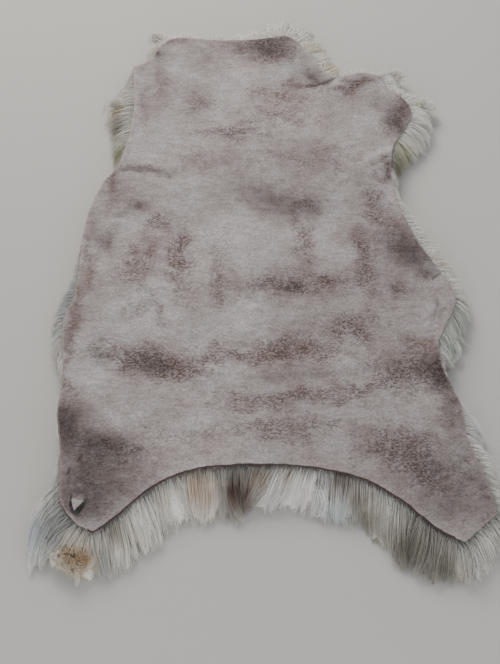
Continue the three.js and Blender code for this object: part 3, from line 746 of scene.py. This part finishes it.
def leatherMaterial():
    # flesh side of a dried skin: grey and pinkish mottle, fine wrinkles across, and a scraped grain, with
    # painted shade in its hollows and creases, painted shadow on the rump's cut edge and painted highlight on
    # its ridges and edge
    material, add = newMaterial("dried sheepskin, flesh side")
    place = add("ShaderNodeTexCoord").outputs["Object"]
    field = {}
    for name in ("brown", "dark", "pale", "wrinkled", "crease", "edge", "cut"):
        field[name] = add("ShaderNodeAttribute", attribute_name=name).outputs["Fac"]
    # wrinkles run across the skin, and a soft noise bends them
    bend = add("ShaderNodeTexNoise", {"Vector": place, "Scale": 60.0, "Detail": 3.0}).outputs["Color"]
    bent = add("ShaderNodeVectorMath", [bend, (0.006, 0.010, 0.0), place], operation="MULTIPLY_ADD")
    wide = add("ShaderNodeMapping", {"Vector": bent, "Scale": (0.55, 1.0, 1.0)})
    wider = add("ShaderNodeMapping", {"Vector": bent, "Scale": (0.3, 1.0, 1.0)})
    noises = [
        # name, place, size in metres, detail
        ("sweeping", place, 0.150, 2.0),
        ("broad", place, 0.070, 5.0),
        ("middle", place, 0.022, 5.0),
        ("patchy", place, 0.013, 4.0),
        ("small", place, 0.004, 3.0),
        ("grain", place, 0.0011, 2.0),
        ("soft", place, 0.012, 2.0),
        ("gaps", wide, 0.0035, 1.0),
        ("streaks", wider, 0.007, 5.0),
        ("threads", wide, 0.0024, 2.0),
    ]
    for name, vector, size, detail in noises:
        field[name] = add("ShaderNodeTexNoise", {"Vector": vector, "Scale": 1 / size, "Detail": detail})
    field["ridges"] = add("ShaderNodeTexNoise", {"Vector": wider, "Scale": 290.0, "Detail": 2.0},
                          noise_type="RIDGED_MULTIFRACTAL")
    field["cells"] = add("ShaderNodeTexVoronoi", {"Vector": wide, "Scale": 320.0}, feature="DISTANCE_TO_EDGE")
    sums = [
        # name, where its share is none and full, and the fields it adds up with their weights
        ("brown", 0.85, 2.2, [("brown", 0.6), ("broad", 1.5), ("middle", 1.0)]),
        ("dark", 0.12, 1.35, [("dark", 0.9), ("middle", 0.35)]),
        ("pale", 0.5, 1.3, [("pale", 0.9), ("middle", 0.8)]),
        ("worn", 0.6, 1.9, [("wrinkled", 0.75), ("brown", 0.4), ("patchy", 1.5)]),
        ("lines", 0.22, 0.04, [("cells", 1.0)]),
        ("unbroken", 0.36, 0.6, [("gaps", 1.0)]),
        ("ridged", 0.85, 1.5, [("ridges", 1.0)]),
        ("streaks", 0.35, 0.65, [("streaks", 1.0)]),
        ("threads", 0.36, 0.64, [("threads", 1.0)]),
        ("rough", 0.3, 0.7, [("small", 1.0)]),
        ("sweeping", 0.36, 0.64, [("sweeping", 1.0)]),
        # painted shade in the creases: the deeper the crease, the darker
        ("painted crease shade", -0.5, -2.8, [("crease", 1.0)]),
        ("rim", 3.0, 0.2, [("edge", 1.0)]),
        ("lip", 2.4, 1.0, [("edge", 1.0)]),
    ]
    share = {"cut": field["cut"]}
    for name, none, full, parts in sums:
        total = 0.0
        for part, weight in parts:
            total = add("ShaderNodeMath", [field[part], weight, total], operation="MULTIPLY_ADD")
        share[name] = add("ShaderNodeMapRange", {"Value": total, "From Min": none, "From Max": full},
                          interpolation_type="SMOOTHSTEP")
    products = [
        # name, and the shares it multiplies
        ("wrinkles", ("lines", "unbroken", "worn")),
        ("brown ridges", ("ridged", "brown")),
        ("cut edge and shadow", ("lip", "cut")),
    ]
    for name, parts in products:
        product = 1.0
        for part in parts:
            product = add("ShaderNodeMath", [share[part], product], operation="MULTIPLY")
        share[name] = product
    coats = [
        # how it is mixed in, where, strength, colour
        ("MIX", "brown", 1.0, "9c8c87"),
        # the skin's own paleness, and painted highlight on the light ridges and the roll
        ("MIX", "pale", 0.9, "c6c4c4"),
        # the skin's own stains, and painted shade in the hollows, dents and notches and over the hind legs
        ("MIX", "dark", 1.0, "453939"),
        ("MULTIPLY", "sweeping", 0.65, "d6d2d2"),
        ("MULTIPLY", "streaks", 0.45, "d6cecc"),
        ("MULTIPLY", "threads", 0.5, "c6bcb8"),
        ("MULTIPLY", "ridged", 0.6, "bfb1ac"),
        ("MULTIPLY", "brown ridges", 0.5, "a68f87"),
        ("MULTIPLY", "wrinkles", 0.9, "aa9890"),
        ("MULTIPLY", "rough", 0.5, "dcd5d2"),
        # painted shade in the creases
        ("MIX", "painted crease shade", 0.7, "46342f"),
        # a pale pink band along the edge: the dried lip's own colour, and painted highlight where light
        # catches the edge
        ("MIX", "rim", 0.25, "c3aea4"),
        # the rump's dark cut edge: the skin's own cut section and painted shadow
        ("MIX", "cut edge and shadow", 0.95, "3a241c"),
    ]
    colour = toLinear("bab7b7")
    for way, where, strength, tone in coats:
        much = add("ShaderNodeMath", [share[where], strength], operation="MULTIPLY")
        colour = add("ShaderNodeMixRGB", {"Fac": much, "Color1": colour, "Color2": toLinear(tone)},
                     blend_type=way)
    bumps = [
        # height, whether it sinks, depth in metres, strength
        (field["soft"], False, 0.0030, 0.35),
        (field["grain"], False, 0.0004, 0.6),
        (share["threads"], True, 0.0005, 0.55),
        (share["ridged"], True, 0.0009, 0.8),
        (share["wrinkles"], True, 0.0015, 1.0),
    ]
    under = {}
    for height, sinks, depth, strength in bumps:
        bump = add("ShaderNodeBump", {"Height": height, "Distance": depth, "Strength": strength, **under},
                   invert=sinks)
        under = {"Normal": bump}
    finishMaterial(add, {"Base Color": colour, "Roughness": 0.62, "Specular IOR Level": 0.35, **under})
    return material


# wool: a solid core under the leather, and staples combed out round it

wool = {
    "colour": "f3f0e8",
    "shade": 0.05,  # how much staples differ in lightness
    "pitch": 11.0,  # spacing of staples round the edge
    "thick": 0.45,  # a strand's radius at its root
    "strands": 44,  # in a staple of the upper layer that reaches as far as the next value
    "fullReach": 60,
    "strandShare": (0.7, 1.15),  # least and most, for staples that reach less or further
    "shortest": 4,
    "fullWidth": 28,  # a shorter staple is narrower
    "narrowest": 0.3,
    "drift": 9.6,  # degrees that neighbouring staples lean together
    "driftSize": 30,
    "stray": 3.6,  # and that each leans on its own
    "ragged": 0.18,  # share by which the reach wanders round the edge
    "raggedSize": 16,
    "bow": 0.05,  # how far a staple bends aside, as a share of its length
    "loose": 0.3,  # beyond this share of its length a staple's height varies
    "vary": (0.9, 1.08),  # least and most, for a staple's length and height
    "under": 2,  # least distance of a staple's line from the leather
    "room": 1,  # and of a strand
    "covered": 6.0,  # how far beyond the edge strands stay below the leather
    "clean": 0.27,  # away from the rump, a root is as little darkened as a strand is this share along it: less painted shadow, and no dirt
    "wave": 0.5,
    "waves": 2.2,
}

stapleRows = [
    # share of the length, spread, shares of the leather's and the crown's height, and what is added to them
    (0.0, 1.0, 1.0, 0.0, 0),
    (0.2, 1.1, 0.95, 0.0, 0),
    (0.42, 1.15, 0.44, 0.5, 3),
    (0.64, 1.05, 0.0, 1.05, 0),
    (0.84, 0.85, 0.0, 0.72, 0),
    (1.0, 0.6, 0.0, 0.3, 0),
]
layers = [
    # inset, share of the reach, share of the strands, spread, share of the height
    (4, 0.95, 1.0, 6.0, 0.95),
    (9, 1.0, 0.6, 6.4, 0.62),
    (12, 1.04, 0.3, 5.6, 0.3),
]

# colours of the wool where it isn't plain cream; some rows are partly painted shade, as marked
woolRows = [
    # name, x, y, radius, colour, amount
    ("brown patch at the tail", -50, -432, 28, "432d1e", 1.0),
    ("brown patch, lower", -45, -450, 16, "584130", 0.85),
    ("tan right of the brown", -16, -420, 17, "84684f", 0.9),
    ("tan blush, left", -106, -431, 24, "bfa58a", 0.8),
    ("tan blush, lower", -92, -447, 12, "c9b39c", 0.6),
    ("tan, far left", -160, -450, 12, "c4b09a", 0.6),
    ("cream lump", -88, -478, 14, "f5efe3", 0.9),
    ("grey end", -58, -470, 16, "a0968f", 0.8),
    ("white tuft", 62, -436, 34, "fbfaf6", 1.0),
    ("white tuft, left", 18, -450, 28, "f9f8f5", 1.0),
    ("tan in the white tuft", 24, -418, 11, "cdb9a2", 0.6),
    # the wool's own brown, darkened by painted shade below the leather's edge
    ("brown roots in painted shade, right", 101, -430, 18, "65503f", 0.9),
    ("brown roots in painted shade, far right", 128, -452, 20, "6f5a49", 0.85),
    ("blue-grey spikes", 94, -470, 24, "d3dcdd", 0.9),
    # the greys of the arch's right are partly the wool's own grey-beige and partly painted shade on its front
    ("grey, right", 142, -480, 24, "8e867a", 0.85),
    ("grey, arch right", 196, -520, 50, "696359", 0.95),
    ("light tuft, right", 158, -514, 14, "d2cdc0", 0.9),
    ("grey, far right", 244, -548, 36, "79746a", 0.9),
    ("light tufts, far right", 268, -560, 14, "c4bfb0", 0.7),
    ("right hind corner", 334, -520, 36, "b9b5aa", 0.7),
    ("right hind leg, cream", 336, -440, 34, "f0ede2", 0.8),
    ("right haunch, tufts", 312, -346, 28, "f6f8fa", 1.0),
    ("right haunch, streak in the tufts", 306, -352, 6, "b5a890", 0.6),
    ("tan line by the left leg", -219, -506, 15, "8f7d6c", 0.85),
    ("cream by the left leg", -196, -500, 14, "ece6d9", 0.8),
    ("dark by the left leg", -248, -532, 14, "77706a", 0.8),
    ("grey by the left leg", -238, -548, 18, "b6b7b3", 0.8),
    ("left hind corner", -338, -500, 36, "d2dadf", 0.9),
    ("left hind corner, grey", -308, -494, 26, "8f908d", 0.85),
    ("matted tag", -275, -540, 24, "bfa684", 0.95),
    ("matted tag, gold", -260, -542, 8, "9a7442", 0.7),
    ("matted tag, gold left", -288, -535, 7, "a37f4c", 0.6),
    ("matted tag's ring", -306, -534, 11, "ece5d6", 0.9),
    ("matted tag's top", -276, -514, 10, "d9d2c3", 0.8),
    ("armpit, green-yellow", 248, 214, 26, "bdb896", 0.9),
    ("armpit, dark", 228, 186, 18, "6d644f", 0.9),
    # painted shadow in the slot under the tongue
    ("painted shadow under the tongue", -276, -463, 18, "4a443f", 0.9),
    ("under the foreleg", 262, 256, 26, "d9d7cb", 0.7),
    ("tan spot by the notch", 122, 434, 15, "d9bf9c", 0.75),
    ("tan, neck's right", 90, 488, 18, "e8dac1", 0.7),
    ("right flank, tan", 288, -33, 12, "cdbfa8", 0.7),
    ("right flank, outer", 336, -84, 22, "dfe5e6", 0.7),
    ("right flank, low", 312, -148, 38, "b9bdb6", 0.7),
    ("right curl", 284, -193, 18, "c3cbbf", 0.8),
    ("left tuft, white", -294, 352, 22, "ece8df", 0.9),
    # the tuft's lower side: its own olive-gold wool, darkened to brown by painted shade
    ("left tuft, gold inside", -272, 322, 12, "a58a63", 0.8),
    ("left tuft, brown under", -272, 284, 16, "5f4c3d", 0.85),
    ("left of the neck, olive", -266, 214, 24, "9c9672", 0.8),
    ("left flank", -340, -110, 80, "c9cdcb", 0.9),
]


def woolColours(places, lightness=1.0):
    # linear colours of the wool at places that start with x and y
    places = np.array(places)
    colours = np.tile(toLinear(wool["colour"]), (len(places), 1))
    for _, px, py, radius, text, amount in woolRows:
        away = (places[:, 0] - px) ** 2 + (places[:, 1] - py) ** 2
        colours += (np.array(toLinear(text)) - colours) * (amount * np.exp(-away / radius ** 2))[:, None]
    colours[:, :3] *= lightness
    return colours


def rimPlaces():
    # places on the cut edge that are evenly spaced halfway along the wool: x, y, reach, comb, crown, heading
    trace = traceEdge(rimStep)
    outward = outwardFrom(trace, 6)
    heading = np.unwrap(np.arctan2(outward[:, 1], outward[:, 0]))
    closed = np.vstack([trace, trace[:1]])
    turn = round((heading[-1] - heading[0]) / math.tau) * math.tau
    heading = np.append(heading, heading[0] + turn)
    reach = closed[:, 2]
    halfway = closed[:, :2] + np.column_stack([np.cos(heading), np.sin(heading)]) * (reach / 2)[:, None]
    travelled = travel(halfway)
    stops = np.arange(0, travelled[-1], wool["pitch"])
    return np.column_stack([np.interp(stops, travelled, column) for column in [*closed.T, heading]])


def makeGuides():
    # guide lines for the staples: points, spread, colours, number of strands, and where each is rooted
    chance = random.Random(11)
    guides = []
    for number, (x, y, reach, comb, crown, heading) in enumerate(rimPlaces()):
        run = number * wool["pitch"]
        lean = comb + wool["drift"] * noise.noise((run / wool["driftSize"], 0.5, 0.5))
        ragged = 1 + wool["ragged"] * noise.noise((run / wool["raggedSize"], 7.5, 0.5))
        depth = float(underside(np.array([x]), np.array([y]))[0])
        for inset, share, many, width, high in layers:
            turn = heading + math.radians(lean + chance.gauss(0, wool["stray"]))
            ax, ay = math.cos(turn), math.sin(turn)
            length = max(reach, wool["shortest"]) * share * ragged * chance.uniform(*wool["vary"])
            bow = chance.gauss(0, wool["bow"]) * length
            lift = chance.uniform(*wool["vary"])
            points = []
            for s, _, ofDepth, ofCrown, added in stapleRows:
                ahead = s * length - inset * (1 - s) ** 2
                aside = bow * 4 * s * (1 - s)
                height = (ofDepth * depth + ofCrown * crown + added) * high
                height = min(height * lift if s > wool["loose"] else height, depth - wool["under"])
                points.append((x + ax * ahead - ay * aside, y + ay * ahead + ax * aside, height))
            colours = woolColours(points, chance.gauss(1, wool["shade"]))
            strands = wool["strands"] * many * np.clip(reach / wool["fullReach"], *wool["strandShare"])
            # short staples are narrow, so that none shows where the leather hides the wool
            width *= np.interp(length, (0, wool["fullWidth"]), (wool["narrowest"], 1))
            guides.append((points, width, colours, strands, (x, y)))
    return guides


# locks that lie on their own: the hooked curl, the spikes and the sweep of the left hind corner
lockRows = [
    # name, spread, strands, root, and the points from there to the tip
    ("curl by the right notch", 4.4, 90, (268, -184, 24),
     (280, -176, 26), (294, -179, 24), (302, -190, 18), (297, -202, 12), (284, -208, 8)),
    ("curl's inner turn", 3.2, 44, (268, -190, 22),
     (279, -185, 22), (289, -188, 20), (292, -195, 15), (286, -201, 11), (275, -201, 8)),
    ("spike over the curl", 2.6, 30, (284, -155, 30),
     (292, -160, 28), (300, -165, 23), (308, -169, 17), (315, -173, 11), (322, -177, 5)),
    ("right haunch, upper tuft", 5.0, 60, (290, -318, 34),
     (300, -322, 33), (309, -328, 28), (316, -333, 21), (321, -337, 13), (325, -341, 5)),
    ("right haunch, lower tuft", 4.5, 50, (291, -342, 34),
     (299, -349, 32), (306, -356, 26), (311, -362, 18), (315, -366, 11), (318, -369, 5)),
    ("spike of the matted tag", 2.2, 26, (-273, -545, 28),
     (-272, -551, 24), (-272, -557, 19), (-272, -563, 13), (-272, -568, 8), (-273, -573, 4)),
    ("hook of the white tuft", 4.6, 60, (66, -424, 36),
     (74, -436, 32), (78, -449, 25), (77, -459, 17), (73, -466, 10), (66, -469, 5)),
    ("white tuft's left end", 4.6, 60, (24, -412, 36),
     (4, -424, 32), (-14, -436, 25), (-28, -446, 17), (-39, -453, 10), (-46, -458, 5)),
    ("left hind corner, outer sweep", 6.0, 80, (-306, -436, 32),
     (-322, -452, 31), (-335, -474, 26), (-342, -498, 18), (-344, -518, 10), (-342, -534, 4)),
    ("left hind corner, sweep to its tip", 6.0, 100, (-303, -450, 35),
     (-318, -468, 33), (-329, -492, 28), (-335, -515, 20), (-339, -537, 11), (-341, -556, 4)),
    ("left hind corner, inner sweep", 6.5, 100, (-296, -466, 36),
     (-310, -484, 34), (-319, -504, 28), (-324, -522, 20), (-326, -537, 12), (-326, -549, 5)),
]

tuftRows = [
    # name, x, y, radius, height
    ("neck tuft, left", -209, 521, 21, 42),
    ("foreleg tuft, upper", 247, 419, 19, 40),
    ("foreleg tuft, outer", 295, 340, 22, 40),
    ("left neck tuft", -277, 339, 27, 40),
    ("inside of the right curl", 282, -192, 12, 22),
    ("matted tag, middle", -276, -536, 25, 38),
    ("matted tag, left", -297, -534, 17, 30),
    ("matted tag, right", -258, -541, 14, 26),
    ("matted tag, end", -276, -548, 14, 20),
]

tuft = {
    "shade": 0.08,
    "density": 0.1,  # staples for each square of a tuft's radius
    "strands": 12,
    "spread": 3.2,
    "swirl": (0.2, 0.9),  # radians that a staple turns on its way down
    "goldenAngle": 2.39996,  # turn from one staple to the next, so that they lie evenly
    "heart": 0.12,  # the innermost staples' distance from the middle, as a share of the radius
    "rim": 0.9,  # how much further out the outermost reach
    "root": 0.35,  # share of its way out at which a staple comes up
    "dome": 1.06,  # radius of the dome, as a share of the tuft's
    "sunken": 0.7,  # a root's height, as a share of the dome's
    "lowest": 2,
}


def lockGuides():
    return [(points, width, woolColours(points), strands, points[0][:2])
            for _, width, strands, *points in lockRows]


def tuftGuides(rows):
    # each tuft's strands rise from its middle, swirl out over its dome and come down to the floor
    chance = random.Random(23)
    guides = []
    for _, x, y, radius, height in rows:
        count = round(radius ** 2 * tuft["density"])
        for i in range(count):
            out = math.sqrt((i + 0.5) / count)
            swirl = chance.uniform(*tuft["swirl"])
            points = []
            for s, *_ in stapleRows:
                far = tuft["heart"] + tuft["rim"] * out * between(tuft["root"], 1, 0, 1, s)
                px, py = turned(radius * far, 0, i * tuft["goldenAngle"] + swirl * s)
                dome = height * math.sqrt(max(0.02, 1 - (far / tuft["dome"]) ** 2))
                rise = dome * between(tuft["sunken"], 1, 0, 1, s)
                points.append((x + px, y + py, max(tuft["lowest"], rise)))
            colours = woolColours(points, chance.gauss(1, tuft["shade"]))
            guides.append((points, tuft["spread"], colours, tuft["strands"], (x, y)))
    return guides


def guideMesh(name, guides):
    places, edges, shades, values = [], [], [], {"spread": [], "count": [], "clean": []}
    for points, width, colours, strands, home in guides:
        first = len(places)
        places += points
        edges += [(i, i + 1) for i in range(first, len(places) - 1)]
        shades.extend(colours)
        values["spread"] += [width * spread * mm for _, spread, *_ in stapleRows]
        values["count"] += [strands] * len(points)
        # along the rump the roots are darkened in full, by dirt and painted shadow of the leather
        values["clean"] += [0.0 if home[1] < rump["edge"] else wool["clean"]] * len(points)
    places = np.array(places)
    # strands stay under the leather up to a little beyond its edge; elsewhere the ceiling is out of reach
    x, y = places[:, :2].T
    ring = traceEdge(rimStep)[:, :2]
    covered = inside(x, y, ring) | (edgeDistance(x, y, ring) < wool["covered"])
    values["ceiling"] = np.where(covered, (leatherFloor(x, y) - wool["room"]) * mm, 1.0)
    mesh = bpy.data.meshes.new(name)
    mesh.from_pydata((places * mm).tolist(), edges, [])
    for key, value in values.items():
        paint(mesh, key, value)
    paint(mesh, "wool", shades)
    return mesh


strand = {
    "uneven": 0.15,  # share by which chance shortens a strand
    "rounding": 0.09,  # and by which it ends sooner away from its staple's middle
    "strays": 0.9,  # how much further a stray strand is from the middle
    "taper": 0.7,  # share of its thickness that it loses
    "floor": 0.0007,  # lowest middle of a strand, in metres
}


def strandTree(material):
    # guide lines to tapering three-sided strands: each line is copied, scattered, waved and swept
    tree = bpy.data.node_groups.new("strands", "GeometryNodeTree")
    add = partial(addNode, tree)
    tree.interface.new_socket("Geometry", in_out="INPUT", socket_type="NodeSocketGeometry")
    for name, kind in (("Thickness", "Float"), ("Wave", "Float"), ("Waves", "Float"), ("Seed", "Int")):
        tree.interface.new_socket(name, in_out="INPUT", socket_type="NodeSocket" + kind)
    tree.interface.new_socket("Geometry", in_out="OUTPUT", socket_type="NodeSocketGeometry")
    given = add("NodeGroupInput").outputs
    at = {name: given[name] for name in ("Thickness", "Wave", "Waves")}
    for name in ("spread", "count", "clean", "ceiling"):
        at[name] = add("GeometryNodeInputNamedAttribute", {"Name": name}, data_type="FLOAT")
    lines = add("GeometryNodeMeshToCurve", {"Mesh": given["Geometry"]})
    copies = add("GeometryNodeDuplicateElements", {"Geometry": lines, "Amount": at["count"]}, domain="SPLINE")
    # every copy has its own place in the staple and its own three chances
    held = add("GeometryNodeCaptureAttribute", {"Geometry": copies}, domain="CURVE")
    index = add("GeometryNodeInputIndex")
    draws = [
        # step of the seed, name, least, most
        (1, "offset", (-1, -1, -0.6), (1, 1, 0.6)),
        (2, "chance", (0, 0, 0), (1, 1, 1)),
    ]
    for step, name, low, high in draws:
        seed = add("ShaderNodeMath", [given["Seed"], step], operation="ADD")
        picked = add("FunctionNodeRandomValue", {0: low, 1: high, "ID": index, "Seed": seed},
                     data_type="FLOAT_VECTOR")
        held.capture_items.new("VECTOR", name)
        tree.links.new(picked.outputs[0], held.inputs[name])
    offset = held.outputs["offset"]
    chance = add("ShaderNodeSeparateXYZ", [held.outputs["chance"]]).outputs
    at["own"], at["luck"], at["straying"] = chance
    at["away"] = add("ShaderNodeVectorMath", [offset, offset], operation="DOT_PRODUCT").outputs["Value"]
    at["along"] = add("GeometryNodeSplineParameter").outputs["Factor"]
    sums = [
        # name, operation, and what it takes, by name or as a number
        # a staple's end is round: strands away from its middle end sooner, and some by chance
        ("rounded", "MULTIPLY_ADD", "away", -strand["rounding"], 1.0),
        ("unlucky", "POWER", "luck", 3.0),
        ("end", "MULTIPLY_ADD", "unlucky", -strand["uneven"], "rounded"),
        # some strands stray further than the rest
        ("far", "POWER", "straying", 8.0),
        ("stray", "MULTIPLY_ADD", "far", strand["strays"], 1.0),
        ("reach", "MULTIPLY", "spread", "stray"),
        # a strand's wave starts anywhere and grows towards its tip
        ("turn", "MULTIPLY_ADD", "along", "Waves", "own"),
        ("angle", "MULTIPLY", "turn", math.tau),
        ("growing", "POWER", "along", 0.5),
        ("size", "MULTIPLY", "growing", "Wave"),
        ("past", "MAXIMUM", "along", "clean"),
        ("squared", "POWER", "along", 2.0),
        ("taper", "MULTIPLY_ADD", "squared", -strand["taper"], 1.0),
        ("thick", "MULTIPLY", "taper", "Thickness"),
    ]
    for name, operation, *parts in sums:
        at[name] = add("ShaderNodeMath", [at.get(part, part) for part in parts], operation=operation)
    short = add("GeometryNodeTrimCurve", {"Curve": held, "End": at["end"]}, mode="FACTOR")
    apart = add("ShaderNodeVectorMath", {0: offset, "Scale": at["reach"]}, operation="SCALE")
    # one sine for each axis, out of step
    steps = add("ShaderNodeVectorMath", [at["angle"], (0.0, 1.571, 1.0)], operation="ADD")
    sines = add("ShaderNodeVectorMath", [steps], operation="SINE")
    wave = add("ShaderNodeVectorMath", {0: sines, "Scale": at["size"]}, operation="SCALE")
    shift = add("ShaderNodeVectorMath", [apart, wave], operation="ADD")
    moved = add("GeometryNodeSetPosition", {"Geometry": short, "Offset": shift})
    # no strand goes through the leather or the floor
    parts = add("ShaderNodeSeparateXYZ", [add("GeometryNodeInputPosition")]).outputs
    below = add("ShaderNodeMath", [parts[2], at["ceiling"]], operation="MINIMUM")
    above = add("ShaderNodeMath", [below, strand["floor"]], operation="MAXIMUM")
    level = add("ShaderNodeCombineXYZ", [parts[0], parts[1], above])
    laid = add("GeometryNodeSetPosition", {"Geometry": moved, "Position": level})
    # the material takes each strand's own chance, and how far along it a point is
    body = add("GeometryNodeCaptureAttribute", {"Geometry": laid}, domain="POINT")
    for name, value in (("own", at["own"]), ("past", at["past"].outputs[0])):
        body.capture_items.new("FLOAT", name)
        tree.links.new(value, body.inputs[name])
    ring = add("GeometryNodeCurvePrimitiveCircle", {"Resolution": 3, "Radius": 1.0})
    swept = add("GeometryNodeCurveToMesh",
                {"Curve": body, "Profile Curve": ring, "Fill Caps": True, "Scale": at["thick"]})
    pair = add("ShaderNodeCombineXYZ", [body.outputs["own"], body.outputs["past"], 0.0])
    stored = add("GeometryNodeStoreNamedAttribute", {"Geometry": swept, "Name": "OFBake", "Value": pair},
                 data_type="FLOAT2", domain="CORNER")
    smooth = add("GeometryNodeSetShadeSmooth", {"Geometry": stored})
    real = add("GeometryNodeRealizeInstances", {"Geometry": smooth})
    painted = add("GeometryNodeSetMaterial", {"Geometry": real, "Material": material})
    add("NodeGroupOutput", [painted])
    return tree


def bakedMesh(holder):
    # the mesh that an object's modifiers make; the object goes
    mesh = bpy.data.meshes.new_from_object(holder.evaluated_get(bpy.context.evaluated_depsgraph_get()))
    bpy.data.objects.remove(holder)
    return mesh


def growStrands(name, guides, tree, values):
    holder = addObject(name + "_guides", guideMesh(name + "_guides", guides))
    grown = holder.modifiers.new("strands", "NODES")
    grown.node_group = tree
    for socket in tree.interface.items_tree:
        if socket.in_out == "INPUT" and socket.name in values:
            grown[socket.identifier] = values[socket.name]
    mesh = bakedMesh(holder)
    mesh.name = name
    mesh.calc_loop_triangles()
    print(name, len(guides), "staples,", len(mesh.loop_triangles), "triangles")
    return addObject(name, mesh)


def woolMaterial():
    # raw fleece: strands differ a little in lightness, and roots are darker, by painted shadow of the leather
    # and, along the rump, dirt
    material, add = newMaterial("raw sheep's wool")
    colour = add("ShaderNodeAttribute", attribute_name="wool").outputs["Color"]
    own, past, _ = add("ShaderNodeSeparateXYZ", [add("ShaderNodeUVMap", uv_map="OFBake")]).outputs
    for value, full, least, most in ((own, 1.0, 0.86, 1.08), (past, 0.36, 0.28, 1.0)):
        shade = add("ShaderNodeMapRange", {"Value": value, "From Max": full, "To Min": least, "To Max": most})
        colour = add("ShaderNodeMixRGB", {"Fac": 1.0, "Color1": colour, "Color2": shade},
                     blend_type="MULTIPLY")
    finishMaterial(add, {"Base Color": colour, "Roughness": 0.75, "Specular IOR Level": 0.3,
                         "Sheen Weight": 0.7, "Sheen Roughness": 0.4, "Sheen Tint": colour})
    return material


def coreMaterial():
    # matted wool behind the strands: the same colours, darkened by a fibrous unevenness that is partly
    # painted shade deep among the strands
    material, add = newMaterial("matted fleece")
    place = add("ShaderNodeTexCoord").outputs["Object"]
    fibres = add("ShaderNodeTexNoise", {"Vector": place, "Scale": 420.0, "Detail": 4.0})
    tone = add("ShaderNodeAttribute", attribute_name="wool").outputs["Color"]
    shade = add("ShaderNodeMapRange",
                {"Value": fibres, "From Min": 0.3, "From Max": 0.7, "To Min": 0.7, "To Max": 1.0})
    colour = add("ShaderNodeMixRGB", {"Fac": 1.0, "Color1": tone, "Color2": shade}, blend_type="MULTIPLY")
    bump = add("ShaderNodeBump", {"Height": fibres, "Strength": 0.9, "Distance": 0.0015})
    finishMaterial(add, {"Base Color": colour, "Roughness": 0.9, "Normal": bump})
    return material


core = {
    "grain": 7.0,  # voxel
    "smoothing": 6,
    "gap": 1.4,  # up to the leather
    "shrink": 5.0,  # how far it stands back behind the strands
    "press": 9.0,  # how deep it is pressed under the tongue
    "pressWidth": 22.0,
    "dip": 2.0,  # how much lower it is under the leather's edge
    "dipWidth": 12.0,
    "slope": 0.4,  # how steeply it falls beyond the edge
}


def makeCore():
    # a copy of the CAD's fleece, merged, evened and set back behind the strands
    whole = bmesh.new()
    whole.from_mesh(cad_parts["fleece"].data)
    bmesh.ops.remove_doubles(whole, verts=whole.verts, dist=1e-5)
    merged = bpy.data.meshes.new("core")
    whole.to_mesh(merged)
    whole.free()
    holder = addObject("core", merged)
    remesh = holder.modifiers.new("remesh", "REMESH")
    remesh.mode = "VOXEL"
    remesh.voxel_size = core["grain"] * mm
    holder.modifiers.new("even", "SMOOTH").iterations = core["smoothing"]
    mesh = bakedMesh(holder)
    mesh.name = "wool_core"
    places, normals = np.empty((2, len(mesh.vertices) * 3))
    mesh.vertices.foreach_get("co", places)
    mesh.vertex_normals.foreach_get("vector", normals)
    places = places.reshape(-1, 3) / mm
    places[:, :2] -= normals.reshape(-1, 3)[:, :2] * core["shrink"]
    x, y = places[:, :2].T
    ring = traceEdge(rimStep)[:, :2]
    edge = edgeDistance(x, y, ring)
    across, up = inTongue(x, y)
    fromTongue = np.hypot(across, up + tongue["length"] / 2)
    ceiling = leatherFloor(x, y) - core["gap"]
    ceiling -= core["press"] * np.exp(-(fromTongue / core["pressWidth"]) ** 4)
    ceiling -= np.where(inside(x, y, ring), core["dip"] * np.exp(-(edge / core["dipWidth"]) ** 2),
                        core["dip"] + core["slope"] * edge)
    places[:, 2] = np.clip(places[:, 2], 0, ceiling)
    mesh.vertices.foreach_set("co", (places * mm).ravel())
    mesh.update()
    mesh.shade_smooth()
    paint(mesh, "wool", woolColours(places))
    print("core", len(mesh.polygons) * 2, "triangles")
    return addObject("wool_core", mesh)


neck = {"edge": 430, "rightEdge": 380, "right": 60}  # its wool starts lower on the right


def partOf(home):
    # the wool piece that a staple belongs to
    x, y = home
    if y < rump["edge"]:
        return "wool_rump_left" if x < 0 else "wool_rump_right"
    if y > neck["edge"] or (y > neck["rightEdge"] and x > neck["right"]):
        return "wool_neck"
    return "wool_right" if x > 0 else "wool_left"


tag = {"wave": 2.2, "waves": 3.5}  # the matted tag's strands are more curled than the rest


def finished(piece, node, material):
    piece.data.materials.clear()
    piece.data.materials.append(material)
    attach(piece, "root")
    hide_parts(node)


makeCamera()
addLights()
addFloor()
hide = makeLeather()
finished(hide, "hide", leatherMaterial())
finished(makeCore(), "fleece", coreMaterial())
fleece = woolMaterial()
tree = strandTree(fleece)
groups = {}
for guide in makeGuides() + lockGuides():
    groups.setdefault(partOf(guide[-1]), []).append(guide)
groups["wool_tufts"] = tuftGuides([row for row in tuftRows if "tag" not in row[0]])
groups["wool_tag"] = tuftGuides([row for row in tuftRows if "tag" in row[0]])
for number, (name, guides) in enumerate(sorted(groups.items())):
    curl = tag if name == "wool_tag" else wool
    values = {"Thickness": wool["thick"] * mm, "Wave": curl["wave"] * mm, "Waves": curl["waves"]}
    piece = growStrands(name, guides, tree, {**values, "Seed": number * 10})
    finished(piece, "fleece", fleece)
